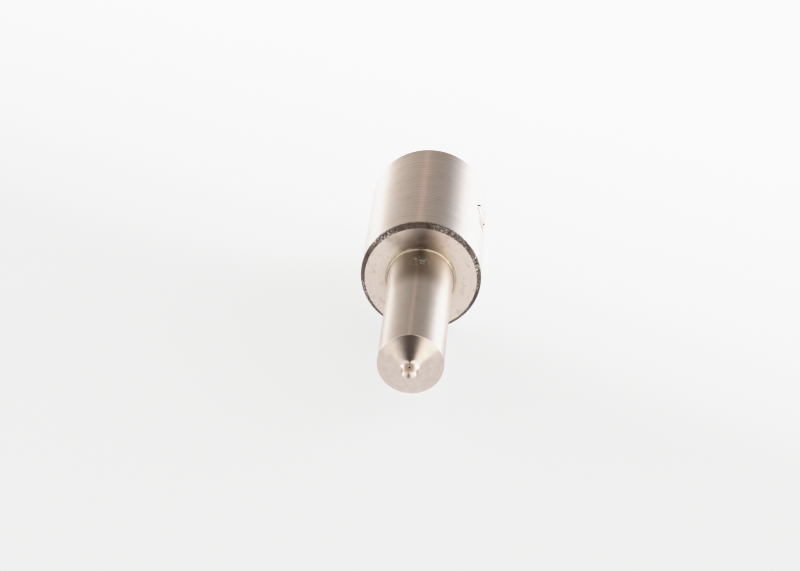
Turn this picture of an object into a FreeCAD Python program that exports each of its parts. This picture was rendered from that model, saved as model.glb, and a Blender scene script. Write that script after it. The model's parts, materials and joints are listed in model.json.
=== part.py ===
import FreeCAD, Part
import math
import os

import Sketcher
from FreeCAD import Placement, Rotation, Vector

# Hole-type diesel injector nozzle: a one-piece hardened steel body with a
# wide collar and a slim stem, a lapped needle that slides in its guide bore,
# and two locating dowels pressed into its rear face.
#
# Frame: origin at the centre of the lapped rear face, +Y out of that face,
# the spray tip points along -Y, and +Z is up when the nozzle lies on its
# collar. Millimetres and degrees.

SHEET_NAME = "Sizes"

# alias, value, what it is
SIZES = [
    ("collar_dia", 17.0, "ground outside diameter of the collar"),
    ("collar_length", 25.0, "lapped rear face to sealing shoulder"),
    ("rear_chamfer", 0.4, "chamfer round the lapped face"),
    ("shoulder_chamfer", 0.57, "turned chamfer round the shoulder"),
    ("stem_dia", 9.0, "ground stem"),
    ("stem_length", 24.25, "shoulder to the edge of the tip cone"),
    ("root_dia", 9.3, "stem's root, left larger where grinding stops"),
    ("root_length", 1.0, "shoulder to where the root starts to taper"),
    ("root_taper_length", 5.5, "taper from the root down to the stem"),
    ("root_fillet", 0.4, "fillet between root and shoulder"),
    ("tip_cone_angle", 127.0, "included angle of the tip cone"),
    ("tip_edge_round", 0.12, "rounding of the tip cone's edge"),
    ("nipple_dia", 2.15, "sac nipple in the middle of the tip"),
    ("nipple_reach", 3.05, "edge of the cone to the nipple's dome centre"),
    ("nipple_fillet", 1.0, "fillet between cone and nipple"),
    ("guide_dia", 6.04, "needle guide bore"),
    ("guide_length", 17.5, "rear face to the fuel gallery"),
    ("guide_entry", 0.25, "chamfer at the mouth of the guide bore"),
    ("gallery_length", 4.8, "fuel gallery, along the axis"),
    ("gallery_round", 2.5, "radius of the gallery's rounded wall"),
    ("stem_bore_dia", 4.6, "bore down the stem, round the needle's shaft"),
    ("seat_angle", 60.0, "included angle of the needle's seat"),
    ("seat_end", 1.75, "edge of the tip cone to the seat's lower end"),
    ("sac_dia", 1.0, "blind sac hole below the seat"),
    ("spray_hole_dia", 0.3, "one spray hole"),
    ("spray_hole_exit", 2.5, "edge of the tip cone to a hole's exit"),
    ("spray_cone_angle", 150.0, "included angle between opposite holes"),
    ("feed_dia", 1.5, "one feed passage"),
    ("feed_start_radius", 4.85, "passage centre at the rear face"),
    ("feed_end_radius", 4.15, "passage centre in the gallery"),
    ("feed_depth", 20.0, "rear face to the passage's end"),
    ("groove_inner_radius", 4.3, "annular feed groove in the rear face"),
    ("groove_outer_radius", 5.4, "annular feed groove in the rear face"),
    ("groove_depth", 0.7, "annular feed groove in the rear face"),
    ("dowel_dia", 2.0, "locating dowel and its hole"),
    ("dowel_pitch_radius", 6.75, "nozzle axis to a dowel's axis"),
    ("dowel_hole_depth", 4.4, "rear face to the hole's floor"),
    ("dowel_length", 7.6, "dowel, end to end"),
    ("dowel_reach", 3.6, "length of dowel that stands out of the face"),
    ("dowel_chamfer", 0.3, "chamfer on both ends of a dowel"),
    ("needle_dia", 6.0, "lapped guide of the needle"),
    ("needle_lift", 0.3, "working lift, left below the rear face"),
    ("needle_guide_end", 17.2, "rear face to the needle's pressure cone"),
    ("needle_shaft_dia", 3.6, "needle's shaft"),
    ("needle_shaft_start", 19.3, "rear face to the shaft's rear end"),
    ("needle_edge", 0.25, "chamfer on the needle's rear shoulder"),
    ("needle_tip_dia", 1.24, "where the seat cone meets the end cone"),
    ("needle_point_dia", 0.5, "flat on the needle's point"),
    ("seat_gap", 0.02, "gap left at the seat and in the guide"),
    ("spigot_dia", 3.8, "spigot that the holder's spindle presses on"),
    ("spigot_neck_dia", 3.2, "relief at the spigot's root"),
    ("spigot_neck_length", 0.6, "relief at the spigot's root"),
    ("spigot_reach", 4.2, "rear face to the spigot's end"),
    ("spigot_chamfer", 0.45, "chamfer on the spigot's end"),
    ("oil_groove_width", 0.35, "one oil groove round the needle's guide"),
    ("oil_groove_depth", 0.14, "one oil groove round the needle's guide"),
    ("oil_groove_first", 4.6, "rear face to the first oil groove"),
    ("oil_groove_pitch", 3.6, "groove to groove"),
    ("mark_depth", 0.06, "depth of the etched batch mark"),
    ("mark_radius", 1.8, "circumradius of the mark's hexagon"),
    ("mark_line", 0.24, "width of the mark's lines"),
    ("mark_station", 9.6, "rear face to the mark's centre"),
    ("mark_turn", 72.0, "mark's angle round the axis from the top"),
    ("tally_pitch", 0.7, "spacing of the strokes beside the hexagon"),
    ("tally_length", 1.8, "length of one stroke"),
]

FEED_COUNT = 3
SPRAY_HOLE_COUNT = 4
DOWEL_COUNT = 2
OIL_GROOVE_COUNT = 3
TALLY_COUNT = 3

doc = FreeCAD.newDocument("InjectorNozzle")


# ---------------------------------------------------------------- the sheet

sheet = doc.addObject("Spreadsheet::Sheet", SHEET_NAME)
for row, (alias, value, meaning) in enumerate(SIZES, start=1):
    sheet.set(f"A{row}", meaning)
    sheet.set(f"B{row}", str(value))
    sheet.setAlias(f"B{row}", alias)
doc.recompute()


def cell(alias):
    """The expression that reads one size from the sheet."""
    return f"{SHEET_NAME}.{alias}"


def size(alias):
    """The same size as a number, for a starting shape or a placement."""
    return float(sheet.get(alias))


def bind(target, **expressions):
    """Binds properties of an object to expressions over the sheet."""
    for name, expression in expressions.items():
        target.setExpression(name, expression)


# ------------------------------------------------- stations along the axis
# Each is an expression for a Y coordinate, so the tip's are negative.

SHOULDER = f"-{cell('collar_length')}"
CONE_EDGE = f"(-{cell('collar_length')} - {cell('stem_length')})"
NIPPLE_RADIUS = f"{cell('nipple_dia')} / 2"
CONE_DROP = f"({cell('stem_dia')} - {cell('nipple_dia')}) / 2"
CONE_HEIGHT = f"({CONE_DROP} / tan({cell('tip_cone_angle')} * 1 deg / 2))"
DOME_CENTRE = f"({CONE_EDGE} - {cell('nipple_reach')})"
SAC_RADIUS = f"{cell('sac_dia')} / 2"
SEAT_END = f"({CONE_EDGE} - {cell('seat_end')})"
SEAT_TAN = f"tan({cell('seat_angle')} * 1 deg / 2)"
SEAT_START = f"({SEAT_END} + ({cell('stem_bore_dia')} - {cell('sac_dia')}) / 2 / {SEAT_TAN})"
GALLERY_END = f"(-{cell('guide_length')} - {cell('gallery_length')})"


# ----------------------------------------------------------- sketch helpers

def origin_plane(body, role):
    """One of a body's own origin planes or axes, by its role."""
    for feature in body.Origin.OriginFeatures:
        if feature.Role == role:
            return feature
    raise ValueError(f"{body.Label} has no {role}")


class Profile:
    """A closed half outline in the XY plane: X is the radius, Y the axis.

    Corners are dimensioned from the origin by expressions. A corner with no
    radius expression lies on the axis, and one with no station lies on the
    rear face."""

    def __init__(self, body, name):
        self.sketch = body.newObject("Sketcher::SketchObject", name)
        self.sketch.AttachmentSupport = [(origin_plane(body, "XY_Plane"), "")]
        self.sketch.MapMode = "FlatFace"
        self.corners = []
        self.arcs = {}

    def corner(self, radius, station, at):
        """Adds a corner; at is its rough place, which the solver refines."""
        self.corners.append((radius, station, Vector(at[0], at[1], 0)))
        return self

    def arc(self, centre, centre_on_axis=False, radius=None):
        """Makes the edge that leaves the last corner an arc round centre."""
        middle = Vector(centre[0], centre[1], 0)
        self.arcs[len(self.corners) - 1] = (middle, centre_on_axis, radius)
        return self

    def close(self):
        sketch = self.sketch
        starts = []
        count = len(self.corners)
        for i in range(count):
            a = self.corners[i][2]
            b = self.corners[(i + 1) % count][2]
            if i in self.arcs:
                starts.append(self._add_arc(a, b, self.arcs[i][0]))
            else:
                sketch.addGeometry(Part.LineSegment(a, b), False)
                starts.append((1, 2))
        for i in range(count):
            j = (i + 1) % count
            sketch.addConstraint(Sketcher.Constraint("Coincident", i, starts[i][1], j, starts[j][0]))
        for i, (centre, on_axis, radius) in self.arcs.items():
            if on_axis:
                sketch.addConstraint(Sketcher.Constraint("PointOnObject", i, 3, -2))
            if radius:
                index = sketch.addConstraint(Sketcher.Constraint("Radius", i, size(radius)))
                sketch.setExpression(f"Constraints[{index}]", cell(radius))
        for i, (radius, station, at) in enumerate(self.corners):
            self._place(i, starts[i][0], radius, station, at)
        return sketch

    def _add_arc(self, a, b, centre):
        """Adds the shorter arc from a to b, and says which of its ends is a."""
        start = math.atan2(a.y - centre.y, a.x - centre.x)
        end = math.atan2(b.y - centre.y, b.x - centre.x)
        turn = (end - start) % (2 * math.pi)
        forwards = turn < math.pi
        low, high = (start, end) if forwards else (end, start)
        circle = Part.Circle(centre, Vector(0, 0, 1), (a - centre).Length)
        self.sketch.addGeometry(Part.ArcOfCircle(circle, low, high), False)
        return (1, 2) if forwards else (2, 1)

    def _place(self, edge, end, radius, station, at):
        sketch = self.sketch
        if radius is None:
            sketch.addConstraint(Sketcher.Constraint("PointOnObject", edge, end, -2))
        else:
            index = sketch.addConstraint(Sketcher.Constraint("DistanceX", -1, 1, edge, end, at.x))
            sketch.setExpression(f"Constraints[{index}]", radius)
        if station is None:
            sketch.addConstraint(Sketcher.Constraint("PointOnObject", edge, end, -1))
        else:
            index = sketch.addConstraint(Sketcher.Constraint("DistanceY", -1, 1, edge, end, at.y))
            sketch.setExpression(f"Constraints[{index}]", station)


def turned(body, kind, name, sketch):
    """A full Revolution or Groove of a profile about the nozzle's axis."""
    feature = body.newObject(f"PartDesign::{kind}", name)
    feature.Profile = sketch
    feature.ReferenceAxis = (sketch, ["V_Axis"])
    feature.Angle = 360
    sketch.Visibility = False
    doc.recompute()
    return feature


def circle_edges(feature, radius, station):
    """Names of the feature's full circles of this radius, round the axis at this Y."""
    names = []
    for number, edge in enumerate(feature.Shape.Edges, start=1):
        if edge.Degenerated or not isinstance(edge.Curve, Part.Circle):
            continue
        centre = edge.Curve.Center
        on_axis = math.hypot(centre.x, centre.z) < 1e-4
        if on_axis and abs(edge.Curve.Radius - radius) < 1e-4 and abs(centre.y - station) < 1e-4:
            names.append(f"Edge{number}")
    if not names:
        raise ValueError(f"{feature.Label} has no circle of radius {radius} at {station}")
    return names


def dress(body, kind, name, base, edges, alias):
    """A Fillet or Chamfer on some edges of the last feature, sized by the sheet."""
    feature = body.newObject(f"PartDesign::{kind}", name)
    feature.Base = (base, edges)
    bind(feature, **{"Radius" if kind == "Fillet" else "Size": cell(alias)})
    doc.recompute()
    return feature


# ------------------------------------------------------- nozzle body, turned

collar_length = size("collar_length")
collar_radius = size("collar_dia") / 2
stem_radius = size("stem_dia") / 2
root_radius = size("root_dia") / 2
cone_edge = -collar_length - size("stem_length")
nipple_radius = size("nipple_dia") / 2
cone_height = (stem_radius - nipple_radius) / math.tan(math.radians(size("tip_cone_angle") / 2))
dome_centre = cone_edge - size("nipple_reach")

blank = doc.addObject("PartDesign::Body", "NozzleBlank")

# Collar, shoulder, stem with its tapered root, tip cone and sac nipple, as one turned outline.
root_end = -collar_length - size("root_length")
taper_end = root_end - size("root_taper_length")
ROOT_END = f"{SHOULDER} - {cell('root_length')}"
outline = Profile(blank, "OutsideOutline")
outline.corner(None, None, (0, 0))
outline.corner(f"{cell('collar_dia')} / 2", None, (collar_radius, 0))
outline.corner(f"{cell('collar_dia')} / 2", SHOULDER, (collar_radius, -collar_length))
outline.corner(f"{cell('root_dia')} / 2", SHOULDER, (root_radius, -collar_length))
outline.corner(f"{cell('root_dia')} / 2", ROOT_END, (root_radius, root_end))
outline.corner(f"{cell('stem_dia')} / 2", f"{ROOT_END} - {cell('root_taper_length')}",
               (stem_radius, taper_end))
outline.corner(f"{cell('stem_dia')} / 2", CONE_EDGE, (stem_radius, cone_edge))
outline.corner(NIPPLE_RADIUS, f"{CONE_EDGE} - {CONE_HEIGHT}", (nipple_radius, cone_edge - cone_height))
outline.corner(NIPPLE_RADIUS, DOME_CENTRE, (nipple_radius, dome_centre))
outline.arc((0, dome_centre), centre_on_axis=True)
outline.corner(None, f"{DOME_CENTRE} - {NIPPLE_RADIUS}", (0, dome_centre - nipple_radius))
turned(blank, "Revolution", "OutsideTurned", outline.close())

# Guide bore, rounded fuel gallery, stem bore, seat cone and sac, bored from the rear.
guide_radius = size("guide_dia") / 2
gallery_start = -size("guide_length")
gallery_end = gallery_start - size("gallery_length")
stem_bore_radius = size("stem_bore_dia") / 2
sac_radius = size("sac_dia") / 2
seat_end = cone_edge - size("seat_end")
seat_tan = math.tan(math.radians(size("seat_angle") / 2))
seat_start = seat_end + (stem_bore_radius - sac_radius) / seat_tan
gallery_middle = Vector((guide_radius + stem_bore_radius) / 2, (gallery_start + gallery_end) / 2, 0)
gallery_chord = Vector(guide_radius - stem_bore_radius, size("gallery_length"), 0)
gallery_offset = math.sqrt(size("gallery_round") ** 2 - gallery_chord.Length ** 2 / 4)
gallery_inwards = Vector(-gallery_chord.y, gallery_chord.x, 0).normalize()
gallery_centre = gallery_middle + gallery_inwards * gallery_offset

bore = Profile(blank, "BoreOutline")
bore.corner(None, None, (0, 0))
bore.corner(f"{cell('guide_dia')} / 2 + {cell('guide_entry')}", None,
            (guide_radius + size("guide_entry"), 0))
bore.corner(f"{cell('guide_dia')} / 2", f"-{cell('guide_entry')}", (guide_radius, -size("guide_entry")))
bore.corner(f"{cell('guide_dia')} / 2", f"-{cell('guide_length')}", (guide_radius, gallery_start))
bore.arc((gallery_centre.x, gallery_centre.y), radius="gallery_round")
bore.corner(f"{cell('stem_bore_dia')} / 2", GALLERY_END, (stem_bore_radius, gallery_end))
bore.corner(f"{cell('stem_bore_dia')} / 2", SEAT_START, (stem_bore_radius, seat_start))
bore.corner(SAC_RADIUS, SEAT_END, (sac_radius, seat_end))
bore.corner(SAC_RADIUS, DOME_CENTRE, (sac_radius, dome_centre))
bore.arc((0, dome_centre), centre_on_axis=True)
bore.corner(None, f"{DOME_CENTRE} - {SAC_RADIUS}", (0, dome_centre - sac_radius))
bored = turned(blank, "Groove", "BoreCut", bore.close())

# Annular feed groove in the lapped face, which joins the three feed passages.
groove = Profile(blank, "FeedGrooveOutline")
groove.corner(cell("groove_inner_radius"), None, (size("groove_inner_radius"), 0))
groove.corner(cell("groove_outer_radius"), None, (size("groove_outer_radius"), 0))
groove.corner(cell("groove_outer_radius"), f"-{cell('groove_depth')}",
              (size("groove_outer_radius"), -size("groove_depth")))
groove.corner(cell("groove_inner_radius"), f"-{cell('groove_depth')}",
              (size("groove_inner_radius"), -size("groove_depth")))
last = turned(blank, "Groove", "FeedGroove", groove.close())

# Edges as they are left by turning and grinding.
last = dress(blank, "Chamfer", "RearChamfer", last,
             circle_edges(last, collar_radius, 0), "rear_chamfer")
last = dress(blank, "Chamfer", "ShoulderChamfer", last,
             circle_edges(last, collar_radius, -collar_length), "shoulder_chamfer")
last = dress(blank, "Fillet", "RootFillet", last,
             circle_edges(last, root_radius, -collar_length), "root_fillet")
last = dress(blank, "Fillet", "NippleFillet", last,
             circle_edges(last, nipple_radius, cone_edge - cone_height), "nipple_fillet")
last = dress(blank, "Fillet", "TipEdgeRound", last,
             circle_edges(last, stem_radius, cone_edge), "tip_edge_round")


# --------------------------------------------------- nozzle body, drilled

AXIS_Y = Vector(0, 1, 0)


def drill(name, diameter_alias, length, start, direction):
    """A drilled cylinder of the sheet's diameter, from start along direction."""
    tool = doc.addObject("Part::Cylinder", name)
    bind(tool, Radius=f"{cell(diameter_alias)} / 2")
    tool.Height = length
    tool.Placement = Placement(start, Rotation(Vector(0, 0, 1), direction))
    return tool


def around(index, count, phase=0.0):
    """Rotation about the nozzle's axis to the index-th of count equal places."""
    return Rotation(AXIS_Y, phase + 360.0 * index / count)


OVERRUN = 1.0  # how far a drill starts outside the face that it enters

drills = []

# Three feed passages, from the groove to the gallery, leaning in a little.
feed_lean = (size("feed_start_radius") - size("feed_end_radius")) / size("feed_depth")
feed_entry = Vector(0, OVERRUN, size("feed_start_radius") + feed_lean * OVERRUN)
feed_floor = Vector(0, -size("feed_depth"), size("feed_end_radius"))
for i in range(FEED_COUNT):
    turn = around(i, FEED_COUNT)
    path = feed_floor - feed_entry
    drills.append(drill(f"FeedPassage{i + 1}", "feed_dia", path.Length,
                        turn.multVec(feed_entry), turn.multVec(path)))

# Spray holes, from the sac out through the wall of the nipple.
spray_lean = math.radians(size("spray_cone_angle") / 2)
spray_direction = Vector(0, -math.cos(spray_lean), math.sin(spray_lean))
spray_exit = Vector(0, cone_edge - size("spray_hole_exit"), nipple_radius)
spray_start = spray_exit - spray_direction * (nipple_radius / math.sin(spray_lean))
for i in range(SPRAY_HOLE_COUNT):
    turn = around(i, SPRAY_HOLE_COUNT)
    drills.append(drill(f"SprayHole{i + 1}", "spray_hole_dia", nipple_radius + OVERRUN,
                        turn.multVec(spray_start), turn.multVec(spray_direction)))

# Two dowel holes in the rear face, either side of the guide bore.
for i in range(DOWEL_COUNT):
    centre = around(i, DOWEL_COUNT, 90.0).multVec(Vector(0, 0, size("dowel_pitch_radius")))
    hole = drill(f"DowelHole{i + 1}", "dowel_dia", 1.0, centre + Vector(0, OVERRUN, 0), -AXIS_Y)
    bind(hole, Height=f"{cell('dowel_hole_depth')} + {OVERRUN}")
    drills.append(hole)


# ------------------------------------------------ nozzle body, etched mark
# A hexagon outline and three strokes, etched to an even depth in the collar.

mark_turn = Rotation(AXIS_Y, size("mark_turn"))
MARK_CLEAR = 1.0  # how far the mark's cutters stand clear of the collar


def facing_out(along, across):
    """Placement of a cutter whose Z runs out of the collar, at a place in the mark."""
    foot = Vector(across, -size("mark_station") + along, collar_radius - MARK_CLEAR)
    return Placement(mark_turn.multVec(foot), mark_turn)


def hexagon(name, radius_expression):
    prism = doc.addObject("Part::Prism", name)
    prism.Polygon = 6
    prism.Height = 2 * MARK_CLEAR
    bind(prism, Circumradius=radius_expression)
    prism.Placement = facing_out(0, 0)
    return prism


hexagon_ring = doc.addObject("Part::Cut", "MarkHexagon")
hexagon_ring.Base = hexagon("MarkHexagonOuter", cell("mark_radius"))
hexagon_ring.Tool = hexagon("MarkHexagonInner", f"{cell('mark_radius')} - {cell('mark_line')}")

strokes = []
for i in range(TALLY_COUNT):
    stroke = doc.addObject("Part::Box", f"MarkStroke{i + 1}")
    bind(stroke, Length=cell("tally_length"), Width=cell("mark_line"))
    stroke.Height = 2 * MARK_CLEAR
    along = -size("mark_radius") - size("tally_pitch") * (i + 1)
    stroke.Placement = facing_out(along, -size("tally_length") / 2)
    strokes.append(stroke)

cutters = doc.addObject("Part::MultiFuse", "MarkCutters")
cutters.Shapes = [hexagon_ring, *strokes]

skin_outside = doc.addObject("Part::Cylinder", "EtchOutside")
skin_inside = doc.addObject("Part::Cylinder", "EtchInside")
bind(skin_outside, Radius=f"{cell('collar_dia')} / 2 + {cell('mark_depth')}",
     Height=cell("collar_length"))
bind(skin_inside, Radius=f"{cell('collar_dia')} / 2 - {cell('mark_depth')}",
     Height=cell("collar_length"))
for cylinder in (skin_outside, skin_inside):
    cylinder.Placement = Placement(Vector(0, 0, 0), Rotation(Vector(0, 0, 1), -AXIS_Y))
skin = doc.addObject("Part::Cut", "EtchSkin")
skin.Base = skin_outside
skin.Tool = skin_inside

etch = doc.addObject("Part::MultiCommon", "EtchedMark")
etch.Shapes = [skin, cutters]

all_cuts = doc.addObject("Part::MultiFuse", "DrillsAndMark")
all_cuts.Shapes = [*drills, etch]

nozzle_body = doc.addObject("Part::Cut", "NozzleBody")
nozzle_body.Base = blank
nozzle_body.Tool = all_cuts
nozzle_body.Label = "nozzle_body"


# ------------------------------------------------------------------ needle

needle = doc.addObject("PartDesign::Body", "Needle")
needle.Label = "nozzle_needle"

needle_radius = size("needle_dia") / 2
shaft_radius = size("needle_shaft_dia") / 2
tip_radius = size("needle_tip_dia") / 2
point_radius = size("needle_point_dia") / 2
spigot_radius = size("spigot_dia") / 2
neck_radius = size("spigot_neck_dia") / 2
lift = size("needle_lift")

# The needle's cone stands off the seat by the seat gap, square to the axis.


def on_seat(radius_expression):
    """Station where the needle's seat cone has this radius."""
    return f"({SEAT_END} + ({radius_expression} + {cell('seat_gap')} - {SAC_RADIUS}) / {SEAT_TAN})"


def seat_station(radius):
    return seat_end + (radius + size("seat_gap") - sac_radius) / seat_tan


SHAFT_RADIUS = f"{cell('needle_shaft_dia')} / 2"
TIP_RADIUS = f"{cell('needle_tip_dia')} / 2"
POINT_RADIUS = f"{cell('needle_point_dia')} / 2"
NEEDLE_REAR = f"-{cell('needle_lift')}"
needle_outline = Profile(needle, "NeedleOutline")
needle_outline.corner(None, cell("spigot_reach"), (0, size("spigot_reach")))
needle_outline.corner(f"{cell('spigot_dia')} / 2", cell("spigot_reach"),
                      (spigot_radius, size("spigot_reach")))
needle_outline.corner(f"{cell('spigot_dia')} / 2", f"{NEEDLE_REAR} + {cell('spigot_neck_length')}",
                      (spigot_radius, size("spigot_neck_length") - lift))
needle_outline.corner(f"{cell('spigot_neck_dia')} / 2", f"{NEEDLE_REAR} + {cell('spigot_neck_length')}",
                      (neck_radius, size("spigot_neck_length") - lift))
needle_outline.corner(f"{cell('spigot_neck_dia')} / 2", NEEDLE_REAR, (neck_radius, -lift))
needle_outline.corner(f"{cell('needle_dia')} / 2", NEEDLE_REAR, (needle_radius, -lift))
needle_outline.corner(f"{cell('needle_dia')} / 2", f"-{cell('needle_guide_end')}",
                      (needle_radius, -size("needle_guide_end")))
needle_outline.corner(SHAFT_RADIUS, f"-{cell('needle_shaft_start')}",
                      (shaft_radius, -size("needle_shaft_start")))
needle_outline.corner(SHAFT_RADIUS, on_seat(SHAFT_RADIUS), (shaft_radius, seat_station(shaft_radius)))
needle_outline.corner(TIP_RADIUS, on_seat(TIP_RADIUS), (tip_radius, seat_station(tip_radius)))
needle_outline.corner(POINT_RADIUS, f"{on_seat(TIP_RADIUS)} - {TIP_RADIUS} + {POINT_RADIUS}",
                      (point_radius, seat_station(tip_radius) - tip_radius + point_radius))
needle_outline.corner(None, f"{on_seat(TIP_RADIUS)} - {TIP_RADIUS} + {POINT_RADIUS}",
                      (0, seat_station(tip_radius) - tip_radius + point_radius))
last = turned(needle, "Revolution", "NeedleTurned", needle_outline.close())

# Oil grooves round the guide. A linear pattern repeats the first one.
groove_start = -size("oil_groove_first")
groove_floor = needle_radius - size("oil_groove_depth")
groove_width = size("oil_groove_width")
oil = Profile(needle, "OilGrooveOutline")
OIL_FLOOR = f"{cell('needle_dia')} / 2 - {cell('oil_groove_depth')}"
OIL_CLEAR = f"{cell('needle_dia')} / 2 + {cell('oil_groove_depth')}"
OIL_START = f"-{cell('oil_groove_first')}"
OIL_END = f"-{cell('oil_groove_first')} - {cell('oil_groove_width')}"
groove_clear = needle_radius + size("oil_groove_depth")
oil.corner(OIL_FLOOR, OIL_START, (groove_floor, groove_start))
oil.corner(OIL_CLEAR, OIL_START, (groove_clear, groove_start))
oil.corner(OIL_CLEAR, OIL_END, (groove_clear, groove_start - groove_width))
oil.corner(OIL_FLOOR, OIL_END, (groove_floor, groove_start - groove_width))
oil_cut = turned(needle, "Groove", "OilGroove", oil.close())

oil_pattern = needle.newObject("PartDesign::LinearPattern", "OilGrooves")
oil_pattern.Originals = [oil_cut]
oil_pattern.Direction = (origin_plane(needle, "Y_Axis"), [""])
oil_pattern.Reversed = True
oil_pattern.Occurrences = OIL_GROOVE_COUNT
bind(oil_pattern, Length=f"{cell('oil_groove_pitch')} * {OIL_GROOVE_COUNT - 1}")
needle.Tip = oil_pattern
doc.recompute()

last = dress(needle, "Chamfer", "SpigotChamfer", oil_pattern,
             circle_edges(oil_pattern, spigot_radius, size("spigot_reach")), "spigot_chamfer")
last = dress(needle, "Chamfer", "NeedleRearEdge", last,
             circle_edges(last, needle_radius, -lift), "needle_edge")


# ------------------------------------------------------------------ dowels

def dowel(label, index):
    """One locating dowel, a chamfered pin pressed into the rear face."""
    body = doc.addObject("PartDesign::Body", f"Dowel{index + 1}")
    body.Label = label
    sketch = body.newObject("Sketcher::SketchObject", f"DowelSection{index + 1}")
    sketch.AttachmentSupport = [(origin_plane(body, "XZ_Plane"), "")]
    sketch.MapMode = "FlatFace"
    sketch.addGeometry(Part.Circle(Vector(0, 0, 0), Vector(0, 0, 1), size("dowel_dia") / 2), False)
    sketch.addConstraint(Sketcher.Constraint("Coincident", 0, 3, -1, 1))
    diameter = sketch.addConstraint(Sketcher.Constraint("Diameter", 0, size("dowel_dia")))
    sketch.setExpression(f"Constraints[{diameter}]", cell("dowel_dia"))
    pad = body.newObject("PartDesign::Pad", f"DowelPad{index + 1}")
    pad.Profile = sketch
    bind(pad, Length=cell("dowel_length"))
    doc.recompute()
    edges = enumerate(pad.Shape.Edges, start=1)
    ends = [f"Edge{number}" for number, edge in edges if isinstance(edge.Curve, Part.Circle)]
    dress(body, "Chamfer", f"DowelEnds{index + 1}", pad, ends, "dowel_chamfer")
    # The pad grows to one side of the sketch's plane, so the pin is set by its outer end.
    top = pad.Shape.BoundBox.YMax
    centre = around(index, DOWEL_COUNT, 90.0).multVec(Vector(0, 0, size("dowel_pitch_radius")))
    body.Placement = Placement(centre + Vector(0, size("dowel_reach") - top, 0), Rotation())
    return body


dowels = [dowel("locating_dowel_right", 0), dowel("locating_dowel_left", 1)]


# ------------------------------------------------------------------ export

doc.recompute()
for thing in doc.Objects:
    if "Invalid" in thing.State or "Error" in thing.State:
        raise RuntimeError(f"{thing.Label} failed: {thing.State}")

os.makedirs("parts", exist_ok=True)
for part in [nozzle_body, needle, *dowels]:
    shape = part.Shape
    if shape.isNull() or not shape.isValid() or shape.Volume <= 0:
        raise RuntimeError(f"{part.Label} has no valid solid")
    shape.exportStep(os.path.join("parts", f"{part.Label}.step"))
    box = shape.BoundBox
    print(f"{part.Label}: {len(shape.Solids)} solid, {shape.Volume:.1f} mm3, "
          f"Y {box.YMin:.2f} to {box.YMax:.2f}, X {box.XMin:.2f} to {box.XMax:.2f}")
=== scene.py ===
import json
import math

import bmesh
import bpy
from mathutils import Matrix, Vector


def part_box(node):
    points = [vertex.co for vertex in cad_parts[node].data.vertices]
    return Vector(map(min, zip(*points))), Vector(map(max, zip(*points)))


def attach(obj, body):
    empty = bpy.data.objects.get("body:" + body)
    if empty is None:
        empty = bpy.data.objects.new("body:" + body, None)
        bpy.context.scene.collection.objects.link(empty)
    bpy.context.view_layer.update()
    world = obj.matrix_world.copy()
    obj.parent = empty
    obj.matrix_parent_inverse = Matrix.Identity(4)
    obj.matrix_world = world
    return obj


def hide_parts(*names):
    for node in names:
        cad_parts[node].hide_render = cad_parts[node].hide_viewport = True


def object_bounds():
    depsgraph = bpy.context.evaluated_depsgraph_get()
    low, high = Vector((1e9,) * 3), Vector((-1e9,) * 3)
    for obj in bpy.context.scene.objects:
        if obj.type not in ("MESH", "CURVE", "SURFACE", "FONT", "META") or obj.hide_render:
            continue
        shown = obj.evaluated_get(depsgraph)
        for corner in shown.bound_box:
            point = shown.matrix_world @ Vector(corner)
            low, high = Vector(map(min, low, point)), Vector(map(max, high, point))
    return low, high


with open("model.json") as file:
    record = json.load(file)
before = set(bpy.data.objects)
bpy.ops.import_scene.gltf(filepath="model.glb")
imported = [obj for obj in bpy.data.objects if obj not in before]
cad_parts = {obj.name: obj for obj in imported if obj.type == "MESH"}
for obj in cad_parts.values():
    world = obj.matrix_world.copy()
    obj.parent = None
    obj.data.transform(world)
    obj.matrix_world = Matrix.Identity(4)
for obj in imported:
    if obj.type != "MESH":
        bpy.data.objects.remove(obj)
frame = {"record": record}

CAD_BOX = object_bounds()

# Hole-type diesel injector nozzle, lying on its collar with the spray tip towards -Y.
# The axis of every turned surface is the Y axis, and Y is 0 at the lapped rear face.


# ------------------------------------------------------------------ white sheet
# The table under the nozzle is a matt white acrylic sheet, lit evenly from above and from the
# sides. Its own glow is painted light, which makes it brightest at the back on the right, so
# that only a faint, wide shadow shows on it.

SHEET_RADIUS = 2.5  # metres, so large that its edge is never seen
SHEET_EDGES = 96
PAINTED_FLOOR_LIGHT = 0.59  # painted light: the sheet's own even glow
PAINTED_LIGHT_RISE = 1.0  # and how much more of it there is at the back
PAINTED_LIGHT_WAY = (0.5, 0.85, 0.0)
PAINTED_LIGHT_FROM = -0.03  # metres along PAINTED_LIGHT_WAY
PAINTED_LIGHT_TO = 0.07


def linear(code, alpha=1.0):
    """An sRGB hex colour as linear RGBA."""
    channels = [int(code[i:i + 2], 16) / 255 for i in (0, 2, 4)]
    curve = [c / 12.92 if c <= 0.04045 else ((c + 0.055) / 1.055) ** 2.4 for c in channels]
    return (*curve, alpha)


def add_node(tree, kind, inputs=None, **settings):
    """Adds a node, sets its properties, and sets or links its input sockets."""
    made = tree.nodes.new(kind)
    for name, value in settings.items():
        setattr(made, name, value)
    for socket, value in (inputs or {}).items():
        if isinstance(value, bpy.types.NodeSocket):
            tree.links.new(value, made.inputs[socket])
        else:
            made.inputs[socket].default_value = value
    return made


def new_material(name):
    """An empty node material and its output node."""
    material = bpy.data.materials.new(name)
    material.use_nodes = True
    tree = material.node_tree
    tree.nodes.clear()
    return material, tree, tree.nodes.new("ShaderNodeOutputMaterial")


def object_from(bm, name, materials):
    """Links a finished bmesh, at the origin, as an object with these materials."""
    mesh = bpy.data.meshes.new(name)
    bm.to_mesh(mesh)
    bm.free()
    for material in materials:
        mesh.materials.append(material)
    made = bpy.data.objects.new(name, mesh)
    bpy.context.scene.collection.objects.link(made)
    return made


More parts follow.
